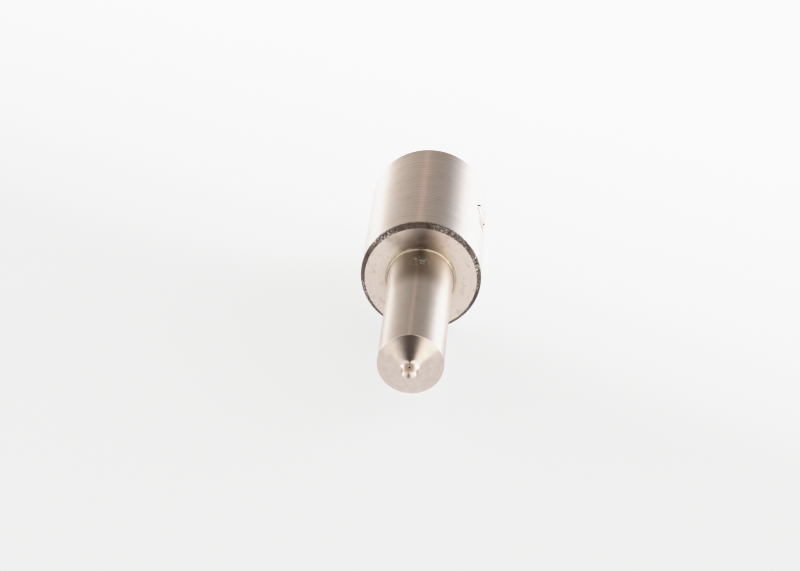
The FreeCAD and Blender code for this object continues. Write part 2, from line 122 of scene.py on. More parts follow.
def white_acrylic_sheet():
    """Matt white acrylic: no gloss, and a glow of painted light, even and brighter at the back."""
    material, tree, output = new_material("white_acrylic_sheet")
    place = add_node(tree, "ShaderNodeTexCoord").outputs["Object"]
    reach = add_node(tree, "ShaderNodeVectorMath", {0: place, 1: PAINTED_LIGHT_WAY},
                     operation="DOT_PRODUCT").outputs["Value"]
    # Painted light: the sheet's emission, rising towards the back on the right.
    glow = add_node(tree, "ShaderNodeMapRange", {
        "Value": reach, "From Min": PAINTED_LIGHT_FROM, "From Max": PAINTED_LIGHT_TO,
        "To Min": PAINTED_FLOOR_LIGHT, "To Max": PAINTED_FLOOR_LIGHT + PAINTED_LIGHT_RISE}, interpolation_type="SMOOTHSTEP").outputs[0]
    surface = add_node(tree, "ShaderNodeBsdfPrincipled", {
        "Base Color": linear("AFB1B4"), "Roughness": 0.9, "Specular IOR Level": 0.0,
        "Emission Color": linear("FFFFFF"), "Emission Strength": glow})
    tree.links.new(surface.outputs[0], output.inputs["Surface"])
    return material


bm = bmesh.new()
bmesh.ops.create_circle(bm, cap_ends=True, radius=SHEET_RADIUS, segments=SHEET_EDGES,
                        matrix=Matrix.Translation((0, 0, CAD_BOX[0].z)))
sheet = object_from(bm, "white_sheet", [white_acrylic_sheet()])


# ----------------------------------------------------------------- studio light
# Bright softboxes stand left and right of the table, and white walls beside the camera. The
# ceiling and the room behind are dim and warm, with one slim gap of light, and a dark
# shape leans over the front. Polished steel shows all of them.

BRIGHTEST = 3.0  # radiance that white stands for in the lists below
# Each list gives the light of one part of the room, by angle in degrees. Behind and overhead
# the angle goes from straight up towards +X, and in front it goes from -Y towards +X.
ROOM_BEHIND = [(-180, "A2A2A2"), (-92, "919190"), (-76, "8A8682"), (-62, "86817A"),
               (-45, "78726B"), (-20, "6D6761"), (10, "68625D"), (36, "57524E"),
               (48, "686562"), (64, "93959A"), (78, "ADB3B8"), (93, "DCE0E4"), (180, "DCE0E4")]
OVERHEAD = [(-180, "9F9F9F"), (-100, "F4F4F4"), (-76, "F4F4F4"), (-62, "AAAAA8"),
            (-45, "86837D"), (-15, "706B64"), (15, "706B64"), (40, "98958F"),
            (58, "BCBCBC"), (70, "F8F8F8"), (100, "F8F8F8"), (180, "B0B0B0")]
IN_FRONT = [(-180, "A0A0A0"), (-60, "A4A4A2"), (-44, "AEADAA"), (-34, "918F8B"),
            (-27, "706B67"), (-18, "3F3935"), (-12, "2C2724"), (11, "302B28"),
            (17, "554E48"), (22, "A29F99"), (31, "BFBCB6"), (60, "BEBEBC"), (180, "B0B0B0")]
# The Y of a direction, where one part of the room starts to fade into the next, and where the
# fade is complete.
FRONT_ENDS = -0.1
OVERHEAD_STARTS = -0.05
OVERHEAD_ENDS = 0.3
BEHIND_STARTS = 0.7
GAP_ANGLE = math.radians(-9)
GAP_HALF_WIDTH = math.radians(6)
GAP_LIGHT = linear("664E47")
BACKDROP = linear("F3F3F4")


def light_round(tree, angle, stops):
    """The light of one part of the room, by an angle in radians."""
    turn = add_node(tree, "ShaderNodeMapRange", {
        "Value": angle, "From Min": -math.pi, "From Max": math.pi}).outputs[0]
    room = add_node(tree, "ShaderNodeValToRGB", {0: turn})
    ramp = room.color_ramp
    ramp.interpolation = "B_SPLINE"
    ramp.elements.remove(ramp.elements[1])
    ramp.elements[0].position = 0
    ramp.elements[0].color = linear(stops[0][1])
    for degrees, colour in stops[1:]:
        ramp.elements.new((degrees + 180) / 360).color = linear(colour)
    return room.outputs[0]


def blend(tree, factor, first, second):
    """The colour that is factor of the way from the first to the second."""
    return add_node(tree, "ShaderNodeMix", {"Factor": factor, 6: first, 7: second},
                    data_type="RGBA").outputs[2]


def between(tree, value, start, end, first, second):
    """Fades from the first colour to the second as value goes from start to end."""
    fade = add_node(tree, "ShaderNodeMapRange", {
        "Value": value, "From Min": start, "From Max": end},
        interpolation_type="SMOOTHSTEP").outputs[0]
    return blend(tree, fade, first, second)


def studio_world():
    """The room as a distant glow. The camera itself sees only a plain pale backdrop."""
    world = bpy.data.worlds.new("soft_studio")
    world.use_nodes = True
    tree = world.node_tree
    tree.nodes.clear()
    way = add_node(tree, "ShaderNodeTexCoord").outputs["Generated"]
    x, y, z = add_node(tree, "ShaderNodeSeparateXYZ", {0: way}).outputs
    forwards = add_node(tree, "ShaderNodeMath", {0: y, 1: -1.0}, operation="MULTIPLY").outputs[0]
    round_axis = add_node(tree, "ShaderNodeMath", {0: x, 1: z}, operation="ARCTAN2").outputs[0]
    aside = add_node(tree, "ShaderNodeMath", {0: x, 1: forwards}, operation="ARCTAN2").outputs[0]

    off_gap = add_node(tree, "ShaderNodeMath", {0: round_axis, 1: GAP_ANGLE},
                       operation="SUBTRACT").outputs[0]
    off_gap = add_node(tree, "ShaderNodeMath", {0: off_gap}, operation="ABSOLUTE").outputs[0]
    gap = add_node(tree, "ShaderNodeMapRange", {
        "Value": off_gap, "From Min": GAP_HALF_WIDTH, "From Max": 0.0},
        interpolation_type="SMOOTHSTEP").outputs[0]
    behind = add_node(tree, "ShaderNodeMix", {
        "Factor": gap, 6: light_round(tree, round_axis, ROOM_BEHIND), 7: GAP_LIGHT},
        data_type="RGBA", blend_type="ADD").outputs[2]
    overhead = light_round(tree, round_axis, OVERHEAD)
    front = light_round(tree, aside, IN_FRONT)
    around = between(tree, y, FRONT_ENDS, OVERHEAD_STARTS, front, overhead)
    around = between(tree, y, OVERHEAD_ENDS, BEHIND_STARTS, around, behind)

    studio = add_node(tree, "ShaderNodeBackground", {"Color": around, "Strength": BRIGHTEST})
    plain = add_node(tree, "ShaderNodeBackground", {"Color": BACKDROP, "Strength": 1.0})
    seen = add_node(tree, "ShaderNodeLightPath").outputs["Is Camera Ray"]
    shown = add_node(tree, "ShaderNodeMixShader", {
        0: seen, 1: studio.outputs[0], 2: plain.outputs[0]})
    add_node(tree, "ShaderNodeOutputWorld", {"Surface": shown.outputs[0]})
    return world


scene = bpy.context.scene
scene.world = studio_world()

# Highlights roll off softly instead of clipping: light of 0.7 and less is kept, and light from
# there up to 2 is pressed into what is left below white.
TONE_WHITE = 2.0
WHITEST = 0.955  # what light of TONE_WHITE and more is shown as
TONES = [(0.7, 0.7), (0.85, 0.82), (1.0, 0.89), (1.2, 0.925), (1.6, 0.94)]
scene.view_settings.view_transform = "Standard"
scene.view_settings.use_curve_mapping = True
tone = scene.view_settings.curve_mapping
tone.white_level = (TONE_WHITE, TONE_WHITE, TONE_WHITE)
tone.curves[3].points[-1].location = (1, WHITEST)
for light, shown in TONES:
    tone.curves[3].points.new(light / TONE_WHITE, shown)
for point in tone.curves[3].points:
    point.handle_type = "VECTOR"
tone.update()


# ----------------------------------------------------------------------- camera
# The camera looks along the nozzle from in front of its tip and from well above, and aims
# just beside the shoulder.

VIEW_AZIMUTH = math.radians(3.61)
VIEW_ELEVATION = math.radians(28.15)
VIEW_DISTANCE = 0.3672
LENS = 117.0
AIM_ASIDE = Vector((-0.00292, 0, -0.00119))

MOUNTS = {mount["name"]: mount for mount in frame["record"]["mounts"]}
shoulder_centre = Vector((0, MOUNTS["clamping_shoulder"]["pos_m"][1], 0))
back_way = Vector((math.sin(VIEW_AZIMUTH) * math.cos(VIEW_ELEVATION),
                   -math.cos(VIEW_AZIMUTH) * math.cos(VIEW_ELEVATION),
                   math.sin(VIEW_ELEVATION)))
camera = bpy.data.objects.new("camera", bpy.data.cameras.new("camera"))
scene.collection.objects.link(camera)
camera.data.lens = LENS
camera.data.clip_start = VIEW_DISTANCE / 10
camera.data.clip_end = 2 * SHEET_RADIUS
camera.location = shoulder_centre + AIM_ASIDE + back_way * VIEW_DISTANCE
camera.rotation_mode = "QUATERNION"
camera.rotation_quaternion = (-back_way).to_track_quat("-Z", "Y")
scene.camera = camera


# ------------------------------------------------------------------ nozzle body
# One piece of hardened alloy steel, turned, drilled and bored, then case-hardened and ground
# on the collar, the shoulder, the stem and the tip. The chamfer and the stem's root keep the
# dark skin of the furnace. It is built in millimetres and scaled to metres when it is done.

MM = 0.001
AXIS = Vector((0, 1, 0))
STEPS = 256  # flats round each turned surface

collar_radius = MOUNTS["collar"]["dims"]["r_mm"]
stem_radius = MOUNTS["stem"]["dims"]["r_mm"]
shoulder = shoulder_centre.y / MM
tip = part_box("nozzle_body")[0][1] / MM

REAR_CHAMFER = 0.4
SHOULDER_CHAMFER = 0.57
ROOT_RADIUS = 4.65
ROOT_LENGTH = 1.0
ROOT_TAPER = 5.5
ROOT_FILLET = 0.4
STEM_LENGTH = 24.25
TIP_HALF_ANGLE = math.radians(63.5)
TIP_EDGE_ROUND = 0.12
NIPPLE_RADIUS = 1.075
NIPPLE_FILLET = 1.0
GUIDE_RADIUS = 3.02
GUIDE_LENGTH = 17.5
GUIDE_ENTRY = 0.25
GALLERY_LENGTH = 4.8
GALLERY_ROUND = 2.5
STEM_BORE_RADIUS = 2.3
SEAT_HALF_ANGLE = math.radians(30)
SEAT_END = 1.75
SAC_RADIUS = 0.5
GROOVE_INNER = 4.3
GROOVE_OUTER = 5.4
GROOVE_DEPTH = 0.7
BROKEN_EDGE = 0.04  # ground edges are broken with a stone

cone_edge = shoulder - STEM_LENGTH
cone_end = cone_edge - (stem_radius - NIPPLE_RADIUS) / math.tan(TIP_HALF_ANGLE)
dome_centre = tip + NIPPLE_RADIUS
seat_end = cone_edge - SEAT_END
seat_start = seat_end + (STEM_BORE_RADIUS - SAC_RADIUS) / math.tan(SEAT_HALF_ANGLE)
gallery_end = -GUIDE_LENGTH - GALLERY_LENGTH
root_end = shoulder - ROOT_LENGTH
taper_end = root_end - ROOT_TAPER

FEED_LINES = 0.82  # mm that the grinding wheel feeds along in each turn
SCRATCH = 0.2  # mm between the scratches that show; the wheel's own grit is finer
SCRATCH_WANDER = 40.0  # scratches fade in and out about every 25 mm
FEED_SWAY = 6.0  # radians that the bands wander by
FEED_SHARE = 0.22  # how much the bands weigh beside the scratches
GRIND_DEPTH = 0.01


def grinding_lines(tree, place, pitch):
    """Lines round the axis, 0 to 1: the feed's regular bands with finer scratches on them."""
    station = add_node(tree, "ShaderNodeSeparateXYZ", {0: place}).outputs["Y"]
    sway = add_node(tree, "ShaderNodeTexNoise", {
        "Vector": place, "Scale": 1 / (3 * pitch * MM), "Detail": 1.0}).outputs["Fac"]
    turns = add_node(tree, "ShaderNodeMath", {
        0: station, 1: 2 * math.pi / (pitch * MM)}, operation="MULTIPLY").outputs[0]
    turns = add_node(tree, "ShaderNodeMath", {0: sway, 1: FEED_SWAY, 2: turns},
                     operation="MULTIPLY_ADD").outputs[0]
    bands = add_node(tree, "ShaderNodeMath", {0: turns}, operation="SINE").outputs[0]
    stretched = add_node(tree, "ShaderNodeMapping", {
        "Vector": place, "Scale": (SCRATCH_WANDER, 1 / (SCRATCH * MM), SCRATCH_WANDER)}).outputs[0]
    scratches = add_node(tree, "ShaderNodeTexNoise", {
        "Vector": stretched, "Scale": 1.0, "Detail": 3.0, "Roughness": 0.65}).outputs["Fac"]
    scratches = add_node(tree, "ShaderNodeMapRange", {
        "Value": scratches, "From Min": 0.25, "From Max": 0.75}).outputs[0]
    return add_node(tree, "ShaderNodeMath", {0: bands, 1: FEED_SHARE, 2: scratches},
                    operation="MULTIPLY_ADD").outputs[0]


def mottle(tree, place, grain, low, high, most=1.0, detail=4.0):
    """Patches about grain mm wide, from 0 to most, where a noise goes from low to high."""
    noise = add_node(tree, "ShaderNodeTexNoise", {
        "Vector": place, "Scale": 1 / (grain * MM), "Detail": detail, "Roughness": 0.6})
    return add_node(tree, "ShaderNodeMapRange", {
        "Value": noise.outputs["Fac"], "From Min": low, "From Max": high,
        "To Max": most}).outputs[0]


def ground_surface(tree, output, place, colour, lines, roughness, anisotropy):
    """Steel ground round its axis: its lines stretch every reflection along the axis."""
    bump = add_node(tree, "ShaderNodeBump", {
        "Height": lines, "Strength": 0.3, "Distance": GRIND_DEPTH * MM}).outputs[0]
    way_round = add_node(tree, "ShaderNodeTangent", direction_type="RADIAL", axis="Y").outputs[0]
    surface = add_node(tree, "ShaderNodeBsdfPrincipled", {
        "Base Color": colour, "Metallic": 1.0, "Roughness": roughness,
        "Anisotropic": anisotropy, "Anisotropic Rotation": 0.25, "Tangent": way_round,
        "Normal": bump})
    tree.links.new(surface.outputs[0], output.inputs["Surface"])


NICK = 0.35  # mm that the nicks reach back from the chamfer


def ground_collar():
    """Hardened steel, ground between centres: bright, with the feed's lines round it. The skin
    of the furnace is left in ragged nicks where the chamfer starts."""
    material, tree, output = new_material("ground_collar_steel")
    place = add_node(tree, "ShaderNodeTexCoord").outputs["Object"]
    lines = grinding_lines(tree, place, FEED_LINES)
    steel = blend(tree, lines, linear("DACFC8"), linear("F2E7E1"))
    worn = blend(tree, mottle(tree, place, 2.5, 0.5, 0.75, 0.3), steel, linear("CDBDAF"))
    station = add_node(tree, "ShaderNodeSeparateXYZ", {0: place}).outputs["Y"]
    torn = add_node(tree, "ShaderNodeMath", {
        0: mottle(tree, place, 0.3, 0.3, 0.7, NICK * MM), 1: station},
        operation="SUBTRACT").outputs[0]
    edge = (shoulder + SHOULDER_CHAMFER + 0.6 * NICK) * MM
    nick = add_node(tree, "ShaderNodeMapRange", {
        "Value": torn, "From Min": -edge, "From Max": -edge + 0.1 * NICK * MM,
        "To Max": 0.9}).outputs[0]
    colour = blend(tree, nick, worn, linear("5C5049"))
    ground_surface(tree, output, place, colour, lines, 0.3, 0.75)
    return material


DARK_MIDDLE = -0.6  # mm across; the top middle of the chamfer stays dark, without bright specks
DARK_MIDDLE_HALF = 1.5
SPECKS_THICKEST_FROM = 4.0  # mm from the dark middle to where the specks are thickest


def scaled_chamfer():
    """Steel as turned and hardened: a dark, rough skin, rubbed through to bright metal in
    patches of fine specks, which are fewest along the top middle and thickest on both sides."""
    material, tree, output = new_material("furnace_scaled_chamfer")
    place = add_node(tree, "ShaderNodeTexCoord").outputs["Object"]
    specks = mottle(tree, place, 0.25, 0.5, 0.6)
    rubbed = mottle(tree, place, 5.0, 0.4, 0.55, detail=1.0)
    # The specks thin out towards the top middle, which stays darker.
    across = add_node(tree, "ShaderNodeSeparateXYZ", {0: place}).outputs["X"]
    aside = add_node(tree, "ShaderNodeMath", {0: across, 1: DARK_MIDDLE * MM},
                     operation="SUBTRACT").outputs[0]
    aside = add_node(tree, "ShaderNodeMath", {0: aside}, operation="ABSOLUTE").outputs[0]
    towards_sides = add_node(tree, "ShaderNodeMapRange", {
        "Value": aside, "From Min": DARK_MIDDLE_HALF * MM, "From Max": SPECKS_THICKEST_FROM * MM}).outputs[0]
    rubbed = add_node(tree, "ShaderNodeMath", {0: rubbed, 1: towards_sides},
                      operation="MULTIPLY").outputs[0]
    bright = add_node(tree, "ShaderNodeMath", {0: specks, 1: rubbed},
                      operation="MULTIPLY").outputs[0]
    skin = blend(tree, mottle(tree, place, 1.5, 0.35, 0.65), linear("4A3E38"), linear("74645B"))
    colour = blend(tree, bright, skin, linear("DDD2C9"))
    polish = add_node(tree, "ShaderNodeMapRange", {
        "Value": bright, "To Min": 0.5, "To Max": 0.3}).outputs[0]
    height = add_node(tree, "ShaderNodeBump", {
        "Height": specks, "Strength": 0.7, "Distance": 0.03 * MM}).outputs[0]
    surface = add_node(tree, "ShaderNodeBsdfPrincipled", {
        "Base Color": colour, "Metallic": 0.95, "Roughness": polish, "Normal": height})
    tree.links.new(surface.outputs[0], output.inputs["Surface"])
    return material


FACE_LINE = 0.2  # mm between the rings that the wheel leaves on the face
FACE_WANDER = 90.0  # rings fade in and out about every 11 mm
STRAW_FULL = 4.8  # mm from the axis, where the straw tint is strongest
STRAW_ENDS = 6.4
DARK_PATCH_AT = (-3.0, 5.8)  # mm, across and up from the axis
DARK_PATCH_SIZE = 3.3
DARK_PATCH_CORE = 0.4  # mm from its middle, where it is darkest
DARK_PATCH_FRAY = 1.2  # mm that its edge wanders


def ground_shoulder():
    """Hardened steel, face ground: faint rings round the axis, small stains, straw heat tint
    near the root and one darker brown patch beside its top."""
    material, tree, output = new_material("ground_shoulder_steel")
    place = add_node(tree, "ShaderNodeTexCoord").outputs["Object"]
    flat = add_node(tree, "ShaderNodeVectorMath", {0: place, 1: (1, 0, 1)},
                    operation="MULTIPLY").outputs[0]
    reach = add_node(tree, "ShaderNodeVectorMath", {0: flat}, operation="LENGTH").outputs["Value"]
    along_rings = add_node(tree, "ShaderNodeCombineXYZ", {"Y": reach}).outputs[0]
    track = add_node(tree, "ShaderNodeMapping", {
        "Vector": along_rings, "Scale": (1, 1 / (FACE_LINE * MM), 1)}).outputs[0]
    track = add_node(tree, "ShaderNodeVectorMath", {
        0: flat, 1: (FACE_WANDER, 0, FACE_WANDER), 2: track},
                     operation="MULTIPLY_ADD").outputs[0]
    lines = add_node(tree, "ShaderNodeTexNoise", {
        "Vector": track, "Scale": 1.0, "Detail": 3.0}).outputs["Fac"]
    steel = blend(tree, lines, linear("DFD2CA"), linear("EADED6"))
    stained = blend(tree, mottle(tree, place, 1.4, 0.54, 0.72, 0.45), steel, linear("AE977F"))
    pitted = blend(tree, mottle(tree, place, 0.35, 0.66, 0.74, 0.5), stained, linear("8A7868"))
    near_root = add_node(tree, "ShaderNodeMapRange", {
        "Value": reach, "From Min": STRAW_ENDS * MM, "From Max": STRAW_FULL * MM,
        "To Max": 0.5},
        interpolation_type="SMOOTHSTEP").outputs[0]
    tinted = blend(tree, near_root, pitted, linear("D6C7AC"))
    # A darker brown patch with a frayed edge, beside the top of the root.
    from_dark_patch = add_node(tree, "ShaderNodeVectorMath", {
        0: flat, 1: Vector((DARK_PATCH_AT[0], 0, DARK_PATCH_AT[1])) * MM}, operation="DISTANCE").outputs["Value"]
    frayed = add_node(tree, "ShaderNodeMath", {
        0: mottle(tree, place, 1.2, 0.2, 0.8, DARK_PATCH_FRAY * MM), 1: from_dark_patch},
        operation="ADD").outputs[0]
    dark_patch = add_node(tree, "ShaderNodeMapRange", {
        "Value": frayed, "From Min": DARK_PATCH_SIZE * MM, "From Max": DARK_PATCH_CORE * MM,
        "To Max": 0.6}, interpolation_type="SMOOTHSTEP").outputs[0]
    colour = blend(tree, dark_patch, tinted, linear("95826F"))
    height = add_node(tree, "ShaderNodeBump", {
        "Height": lines, "Strength": 0.2, "Distance": GRIND_DEPTH * MM}).outputs[0]
    surface = add_node(tree, "ShaderNodeBsdfPrincipled", {
        "Base Color": colour, "Metallic": 1.0, "Roughness": 0.2, "Normal": height})
    tree.links.new(surface.outputs[0], output.inputs["Surface"])
    return material


def scaled_root():
    """The corner that the wheel doesn't reach: turned steel, tinted straw by the furnace."""
    material, tree, output = new_material("heat_tinted_root")
    place = add_node(tree, "ShaderNodeTexCoord").outputs["Object"]
    colour = blend(tree, mottle(tree, place, 1.2, 0.35, 0.65), linear("AFA193"), linear("CABBA8"))
    surface = add_node(tree, "ShaderNodeBsdfPrincipled", {
        "Base Color": colour, "Metallic": 1.0, "Roughness": 0.22})
    tree.links.new(surface.outputs[0], output.inputs["Surface"])
    return material


PAINTED_SHADE_EDGE = 2.4  # mm above the axis, where the painted shade along the stem's top starts
PAINTED_SHADE_LENGTH = 10.0  # from the shoulder
PAINTED_SHADE_FULL = 0.6  # share of its length, from the shoulder, over which the painted shade is full
SCRAPED_AT = (-0.1, 3.3)  # mm across, and from the shoulder along the top of the stem
SCRAPED_SIZE = 1.6  # radius of the patch
SCRAPED_CORE = 0.7  # and of its part where the specks are thickest


def ground_stem():
    """As the collar, ground with a finer wheel. Painted shade darkens the top of its first part,
    near the shoulder, and a patch of bright specks lies there."""
    material, tree, output = new_material("ground_stem_steel")
    place = add_node(tree, "ShaderNodeTexCoord").outputs["Object"]
    position = add_node(tree, "ShaderNodeSeparateXYZ", {0: place})
    lines = grinding_lines(tree, place, FEED_LINES / 2)
    steel = blend(tree, lines, linear("DACFC7"), linear("E6DBD4"))
    worn = blend(tree, mottle(tree, place, 2.0, 0.5, 0.75, 0.3), steel, linear("CBBCAA"))
    # Painted shade: the top of the stem near the shoulder is darkened towards brown A39281.
    top = add_node(tree, "ShaderNodeMapRange", {
        "Value": position.outputs["Z"], "From Min": PAINTED_SHADE_EDGE * MM,
        "From Max": stem_radius * MM}, interpolation_type="SMOOTHSTEP").outputs[0]
    length = add_node(tree, "ShaderNodeMapRange", {
        "Value": position.outputs["Y"], "From Min": (shoulder - PAINTED_SHADE_LENGTH) * MM,
        "From Max": (shoulder - PAINTED_SHADE_FULL * PAINTED_SHADE_LENGTH) * MM}, interpolation_type="SMOOTHSTEP")
    painted_top_shade = add_node(tree, "ShaderNodeMath", {0: top, 1: length.outputs[0]},
                    operation="MULTIPLY").outputs[0]
    dulled = blend(tree, painted_top_shade, worn, linear("A39281"))
    patch = Vector((SCRAPED_AT[0], shoulder - SCRAPED_AT[1], stem_radius)) * MM
    scraped = add_node(tree, "ShaderNodeVectorMath", {0: place, 1: patch},
                       operation="DISTANCE").outputs["Value"]
    scraped = add_node(tree, "ShaderNodeMapRange", {
        "Value": scraped, "From Min": SCRAPED_SIZE * MM,
        "From Max": SCRAPED_CORE * MM}).outputs[0]
    specks = add_node(tree, "ShaderNodeMath", {
        0: mottle(tree, place, 0.4, 0.5, 0.58), 1: scraped}, operation="MULTIPLY").outputs[0]
    colour = blend(tree, specks, dulled, linear("F4ECE4"))
    height = add_node(tree, "ShaderNodeMath", {0: specks, 1: 2.0, 2: lines},
                      operation="MULTIPLY_ADD").outputs[0]
    ground_surface(tree, output, place, colour, height, 0.3, 0.93)
    return material


DULL_FROM = 1.65  # mm from the cone's edge, where the nipple starts to be duller
DULL_TO = 2.25


def satin_tip():
    """Hardened steel, ground and then tumbled: satin, with hardly a line to be seen. The
    nipple, which the wheel can't follow, is a little duller."""
    material, tree, output = new_material("satin_tip_steel")
    place = add_node(tree, "ShaderNodeTexCoord").outputs["Object"]
    clouds = mottle(tree, place, 0.9, 0.3, 0.7)
    colour = blend(tree, clouds, linear("D3C5BC"), linear("DED1CA"))
    station = add_node(tree, "ShaderNodeSeparateXYZ", {0: place}).outputs["Y"]
    rough = add_node(tree, "ShaderNodeMapRange", {
        "Value": station, "From Min": (cone_edge - DULL_FROM) * MM,
        "From Max": (cone_edge - DULL_TO) * MM, "To Min": 0.2, "To Max": 0.36}).outputs[0]
    surface = add_node(tree, "ShaderNodeBsdfPrincipled", {
        "Base Color": colour, "Metallic": 1.0, "Roughness": rough})
    tree.links.new(surface.outputs[0], output.inputs["Surface"])
    return material


def ground_pin(name):
    """Hardened steel, centreless ground: plain fine lines round the pin."""
    material, tree, output = new_material(name)
    place = add_node(tree, "ShaderNodeTexCoord").outputs["Object"]
    lines = grinding_lines(tree, place, FEED_LINES / 2)
    colour = blend(tree, lines, linear("CBBFB7"), linear("DDD2CB"))
    bump = add_node(tree, "ShaderNodeBump", {
        "Height": lines, "Strength": 0.3, "Distance": GRIND_DEPTH * MM}).outputs[0]
    surface = add_node(tree, "ShaderNodeBsdfPrincipled", {
        "Base Color": colour, "Metallic": 1.0, "Roughness": 0.28, "Normal": bump})
    tree.links.new(surface.outputs[0], output.inputs["Surface"])
    return material


def lapped_steel():
    """Hardened steel, lapped on a cast-iron plate: nearly a mirror, with the faintest haze."""
    material, tree, output = new_material("lapped_steel")
    place = add_node(tree, "ShaderNodeTexCoord").outputs["Object"]
    haze = add_node(tree, "ShaderNodeTexNoise", {
        "Vector": place, "Scale": 1 / (0.5 * MM), "Detail": 4.0}).outputs["Fac"]
    polish = add_node(tree, "ShaderNodeMapRange", {
        "Value": haze, "From Min": 0.3, "From Max": 0.7, "To Min": 0.1, "To Max": 0.18}).outputs[0]
    surface = add_node(tree, "ShaderNodeBsdfPrincipled", {
        "Base Color": linear("D9D2CC"), "Metallic": 1.0, "Roughness": polish})
    tree.links.new(surface.outputs[0], output.inputs["Surface"])
    return material


def bored_steel():
    """Drilled and reamed steel, dulled by hardening."""
    material, tree, output = new_material("bored_steel")
    place = add_node(tree, "ShaderNodeTexCoord").outputs["Object"]
    grain = add_node(tree, "ShaderNodeTexNoise", {
        "Vector": place, "Scale": 1 / (0.3 * MM), "Detail": 3.0}).outputs["Fac"]
    colour = blend(tree, grain, linear("7F746B"), linear("A3978D"))
    surface = add_node(tree, "ShaderNodeBsdfPrincipled", {
        "Base Color": colour, "Metallic": 1.0, "Roughness": 0.42})
    tree.links.new(surface.outputs[0], output.inputs["Surface"])
    return material


def etched_steel():
    """Electrolytically etched steel: a matt, almost black oxide."""
    material, tree, output = new_material("etched_steel")
    place = add_node(tree, "ShaderNodeTexCoord").outputs["Object"]
    grain = add_node(tree, "ShaderNodeTexNoise", {
        "Vector": place, "Scale": 1 / (0.1 * MM), "Detail": 2.0}).outputs["Fac"]
    colour = blend(tree, grain, linear("1C1816"), linear("332C28"))
    surface = add_node(tree, "ShaderNodeBsdfPrincipled", {
        "Base Color": colour, "Specular IOR Level": 0.1, "Roughness": 0.9})
    tree.links.new(surface.outputs[0], output.inputs["Surface"])
    return material


def arc(start, end, radius, points=12):
    """Corners of an arc from start to end whose centre is on the axis's side of it."""
    a, b = Vector(start), Vector(end)
    chord = b - a
    inwards = Vector((-chord.y, chord.x)).normalized()
    if inwards.x > 0:
        inwards = -inwards
    centre = (a + b) / 2 + inwards * math.sqrt(radius ** 2 - chord.length_squared / 4)
    first = math.atan2(a.y - centre.y, a.x - centre.x)
    last = math.atan2(b.y - centre.y, b.x - centre.x)
    turn = (last - first + math.pi) % (2 * math.pi) - math.pi
    turns = [first + turn * i / points for i in range(points + 1)]
    return [(centre.x + radius * math.cos(t), centre.y + radius * math.sin(t)) for t in turns]


def turned(stretches):
    """Spins the stretches of an outline about the nozzle's axis and welds them together.

    A stretch is (material index, corners), and a corner is (radius, station)."""
    bm = bmesh.new()
    for index, corners in stretches:
        verts = [bm.verts.new((radius, station, 0)) for radius, station in corners]
        edges = [bm.edges.new(pair) for pair in zip(verts, verts[1:])]
        bmesh.ops.spin(bm, geom=[*verts, *edges], cent=(0, 0, 0), axis=AXIS,
                       angle=2 * math.pi, steps=STEPS, use_merge=True)
        for face in bm.faces:
            if not face.tag:
                face.material_index = index
                face.tag = True
    bmesh.ops.remove_doubles(bm, verts=bm.verts, dist=1e-4)
    bmesh.ops.recalc_face_normals(bm, faces=bm.faces)
    return bm


def round_off(bm, radius, station, amount, segments=3, material=-1):
    """Rounds the ring at this radius and station. amount is the arc's tangent length."""
    def on_ring(vert):
        reach = math.hypot(vert.co.x, vert.co.z)
        return abs(reach - radius) < 1e-3 and abs(vert.co.y - station) < 1e-3

    ring = [edge for edge in bm.edges if all(on_ring(vert) for vert in edge.verts)]
    bmesh.ops.bevel(bm, geom=ring, offset=amount, offset_type="OFFSET", segments=segments,
                    profile=0.5, affect="EDGES", material=material)


def tangent_length(radius, turn):
    """How far a round of this radius reaches back from a corner that turns by this angle."""
    return radius * math.tan(turn / 2)


COLLAR, CHAMFER, SHOULDER_FACE, ROOT, STEM, TIP, LAPPED, BORED, ETCHED = range(9)
body_materials = [ground_collar(), scaled_chamfer(), ground_shoulder(), scaled_root(),
                  ground_stem(), satin_tip(), lapped_steel(), bored_steel(), etched_steel()]

bm = turned([
    (LAPPED, [(GUIDE_RADIUS + GUIDE_ENTRY, 0), (GROOVE_INNER, 0)]),
    (BORED, [(GROOVE_INNER, 0), (GROOVE_INNER, -GROOVE_DEPTH), (GROOVE_OUTER, -GROOVE_DEPTH),
             (GROOVE_OUTER, 0)]),
    (LAPPED, [(GROOVE_OUTER, 0), (collar_radius - REAR_CHAMFER, 0)]),
    (COLLAR, [(collar_radius - REAR_CHAMFER, 0), (collar_radius, -REAR_CHAMFER),
              (collar_radius, shoulder + SHOULDER_CHAMFER)]),
    (CHAMFER, [(collar_radius, shoulder + SHOULDER_CHAMFER),
               (collar_radius - SHOULDER_CHAMFER, shoulder)]),
    (SHOULDER_FACE, [(collar_radius - SHOULDER_CHAMFER, shoulder), (ROOT_RADIUS, shoulder)]),
    (STEM, [(ROOT_RADIUS, shoulder), (ROOT_RADIUS, root_end), (stem_radius, taper_end),
            (stem_radius, cone_edge)]),
    (TIP, [(stem_radius, cone_edge), (NIPPLE_RADIUS, cone_end), (NIPPLE_RADIUS, dome_centre)]),
    (TIP, arc((NIPPLE_RADIUS, dome_centre), (0, tip), NIPPLE_RADIUS)),
    (BORED, arc((SAC_RADIUS, dome_centre), (0, dome_centre - SAC_RADIUS), SAC_RADIUS)),
    (BORED, [(SAC_RADIUS, dome_centre), (SAC_RADIUS, seat_end), (STEM_BORE_RADIUS, seat_start),
             (STEM_BORE_RADIUS, gallery_end)]),
    (BORED, arc((STEM_BORE_RADIUS, gallery_end), (GUIDE_RADIUS, -GUIDE_LENGTH), GALLERY_ROUND)),
    (LAPPED, [(GUIDE_RADIUS, -GUIDE_LENGTH), (GUIDE_RADIUS, -GUIDE_ENTRY),
              (GUIDE_RADIUS + GUIDE_ENTRY, 0)]),
])
square = math.pi / 2
eighth = math.pi / 4
